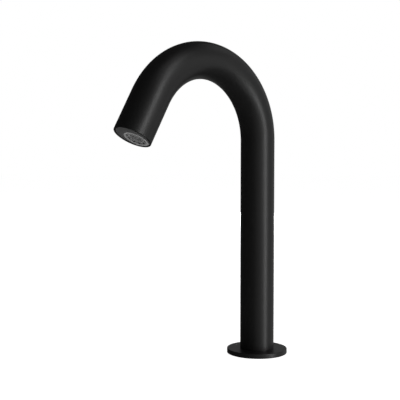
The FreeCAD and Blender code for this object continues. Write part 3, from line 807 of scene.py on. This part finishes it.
# ---------------------------------------------------------------------------------------------
# Aerator: a screw-in cartridge of moulded plastic. Its shell has a rim with notches for a key and
# a fine thread, and holds a honeycomb grille, a perforated disc, a flow limiter and a dome strainer.
aerator_back = -0.0098
thread_front = -0.002
shell_groove = 0.0086
shell_reach = 0.0093
grille_radius = 0.00785
grille_front = -0.00122
grille_back = -0.00282
grille_edge = 0.0001
cell_pitch = 0.00108
cell_width = 0.0009
cell_reach = 0.0064
cell_span = 2 * math.ceil(cell_reach / cell_pitch)

notch_count = 9
notch_phase = math.radians(5.6)
notch_width = 0.0024
notch_inner = 0.0070
notch_outer = 0.00875
notch_floor = -0.0034


def join(pieces):
    """Make one piece of several."""
    bpy.ops.object.select_all(action="DESELECT")
    for piece in pieces:
        piece.select_set(True)
    bpy.context.view_layer.objects.active = pieces[0]
    bpy.ops.object.join()
    return pieces[0]


def key_notches(piece):
    """Cut the notches for the key into a piece that is drawn in place."""
    middle = (notch_inner + notch_outer) / 2
    cutters = []
    for number in range(notch_count):
        angle = notch_phase + math.tau * number / notch_count
        bpy.ops.object.select_all(action="DESELECT")
        bpy.ops.mesh.primitive_cube_add(
            size=1, scale=(notch_outer - notch_inner, notch_width, -notch_floor),
            location=(middle * math.cos(angle), aerator_offset + middle * math.sin(angle),
                      notch_floor / 2),
            rotation=(0, 0, angle))
        cutters.append(bpy.context.active_object)
    cutter = join(cutters)
    to_outlet(cutter)
    carve(piece, cutter)


def cartridge_plastic(name, dark, light):
    """The cartridge's grey moulding, a little darker than the collar round it."""
    finish = Finish(name)
    marks = finish.noise(420, 3)
    finish.shade(
        Base_Color=finish.blend(marks, grey(dark), grey(light)),
        Roughness=0.48 + marks * 0.1,
        Normal=finish.bump(finish.noise(3200), 0.00001, 0.3),
    )
    return finish


shell_plastic = cartridge_plastic("cartridge_moulding", 0.25, 0.29)
shell = softened("aerator_housing", 0.00012)
key_notches(shell)
cut_aerator_thread(shell, shell_groove, shell_reach, aerator_back, thread_front)
fit(shell, "cartridge_shell", shell_plastic, "aerator", "aerator_housing")

grille = stack([
    (grille_radius - grille_edge, grille_back),
    (grille_radius, grille_back + grille_edge),
    (grille_radius, grille_front - grille_edge),
    (grille_radius - grille_edge, grille_front),
], round_sides, 0, aerator_offset)
cells = []
for row in range(-cell_span, cell_span + 1):
    for column in range(-cell_span, cell_span + 1):
        across = cell_pitch * (column + row / 2)
        up = cell_pitch * row * math.cos(math.pi / 6)
        if math.hypot(across, up) > cell_reach:
            continue
        bpy.ops.mesh.primitive_cylinder_add(
            vertices=6, radius=cell_width / 2 / math.cos(math.pi / 6),
            depth=2 * (grille_front - grille_back),
            location=(across, aerator_offset + up, (grille_front + grille_back) / 2))
        cells.append(bpy.context.active_object)
carve(grille, join(cells))
to_outlet(grille)
key_notches(grille)
grille_plastic = cartridge_plastic("honeycomb_moulding", 0.35, 0.39)
fit(grille, "honeycomb", grille_plastic, "aerator", "aerator_screen",
    smooth=30)

white_plastic = Finish("white_moulding")
white_plastic.shade(
    Base_Color=white_plastic.blend(white_plastic.noise(200, 3), grey(0.66), grey(0.74)),
    Roughness=0.38 + white_plastic.noise(900) * 0.1,
    Normal=white_plastic.bump(white_plastic.noise(2600), 0.00001, 0.3),
)
for name, node in (
        ("diffuser", "aerator_diffuser"), ("limiter", "flow_regulator"), ("strainer", "aerator_filter")):
    fit(softened(node, 0.0001), name, white_plastic, "aerator", node)

# ---------------------------------------------------------------------------------------------
# Stage: a pale floor at deck level, clear from below, in a white surround that only the camera sees.
# The black coat mirrors a dark studio with strips at the right, which draw its bright line. The
# lamps below the outlet and behind the tap aren't mirrored: they only light what faces them.
white = (1, 1, 1, 1)
studio_light = 0.034
floor_size = 12
floor_drop = 0.00005
floor_glow = 0.97
floor_paint = (0.8, 0.8, 0.8, 1)
light_aim = Vector((0, -0.05, 0.16))
first_wall = 127
wall_spacing = 25


def pick_shader(tree, factor, first, second):
    """In a node tree, mix two shaders: the first where factor is 0, the second where it is 1."""
    mix = tree.nodes.new("ShaderNodeMixShader")
    for number, socket in enumerate((factor, first, second)):
        tree.links.new(socket, mix.inputs[number])
    return mix.outputs[0]


def softbox(name, bearing, rise, distance, width, height, power, mirrored=True):
    """An area light aimed at the tap's middle, at a bearing and a height angle in degrees.

    Bearings count from -y, where the spout points, towards +x. The light is missing from
    reflections when it isn't mirrored.
    """
    bearing, rise = math.radians(bearing), math.radians(rise)
    away = Vector((
        math.sin(bearing) * math.cos(rise), -math.cos(bearing) * math.cos(rise), math.sin(rise)))
    light = bpy.data.lights.new(name, "AREA")
    light.shape = "RECTANGLE"
    light.size = width
    light.size_y = height
    light.energy = power
    lamp = bpy.data.objects.new(name, light)
    lamp.location = light_aim + away * distance
    lamp.rotation_euler = away.to_track_quat("Z", "Y").to_euler()
    lamp.visible_glossy = mirrored
    bpy.context.scene.collection.objects.link(lamp)


world = bpy.data.worlds.new("studio")
world.use_nodes = True
tree = world.node_tree
tree.nodes.clear()
surrounds = []
for strength in (studio_light, 1):
    surround = tree.nodes.new("ShaderNodeBackground")
    surround.inputs["Color"].default_value = white
    surround.inputs["Strength"].default_value = strength
    surrounds.append(surround.outputs[0])
camera_ray = tree.nodes.new("ShaderNodeLightPath").outputs["Is Camera Ray"]
world_out = tree.nodes.new("ShaderNodeOutputWorld")
tree.links.new(pick_shader(tree, camera_ray, *surrounds), world_out.inputs["Surface"])
bpy.context.scene.world = world

softbox("key_high", 97, 15, 1.6, 0.3, 0.75, 4)
softbox("key_low", 104, -10, 1.6, 0.3, 0.75, 3.8)
softbox("key_over", 100, 40, 1.6, 0.4, 0.75, 2)
softbox("key_foot", 97, -35, 1.6, 0.3, 0.75, 1)
softbox("fill", 77, 0, 1.8, 0.8, 1.9, 2.2)
softbox("front", 47, 0, 1.8, 0.8, 1.9, 0.9)
softbox("below", 40, -65, 1.6, 0.9, 0.9, 8.7, mirrored=False)
softbox("behind", 227, 0, 2, 0.4, 1.9, 30, mirrored=False)
softbox("overhead", 90, 60, 1.6, 0.9, 0.9, 1)
softbox("over_side", 160, 40, 1.8, 0.9, 0.7, 0.5)
softbox("over_back", 185, 45, 1.8, 0.9, 0.7, 0.4)
for number, power in enumerate((1.5, 1.4, 1.4, 1.0, 0.8)):
    softbox("wall_" + str(number), first_wall + wall_spacing * number, 0, 1.8, 0.8, 1.9, power)

bpy.ops.object.select_all(action="DESELECT")
bpy.ops.mesh.primitive_plane_add(size=floor_size, location=(0, 0, -floor_drop))
floor = bpy.context.active_object
floor.name = "floor"
floor.visible_glossy = False
floor.visible_shadow = False
paint = bpy.data.materials.new("pale_floor")
paint.use_nodes = True
tree = paint.node_tree
tree.nodes.clear()
glow = tree.nodes.new("ShaderNodeEmission")
glow.inputs["Strength"].default_value = floor_glow
matt = tree.nodes.new("ShaderNodeBsdfDiffuse")
matt.inputs["Color"].default_value = floor_paint
bright = tree.nodes.new("ShaderNodeAddShader")
tree.links.new(glow.outputs[0], bright.inputs[0])
tree.links.new(matt.outputs[0], bright.inputs[1])
camera_ray = tree.nodes.new("ShaderNodeLightPath").outputs["Is Camera Ray"]
from_below = tree.nodes.new("ShaderNodeNewGeometry").outputs["Backfacing"]
clear = tree.nodes.new("ShaderNodeBsdfTransparent").outputs[0]
from_above = pick_shader(tree, camera_ray, matt.outputs[0], bright.outputs[0])
floor_out = tree.nodes.new("ShaderNodeOutputMaterial")
tree.links.new(pick_shader(tree, from_below, from_above, clear), floor_out.inputs["Surface"])
floor.data.materials.append(paint)

bpy.context.scene.view_settings.view_transform = "Standard"
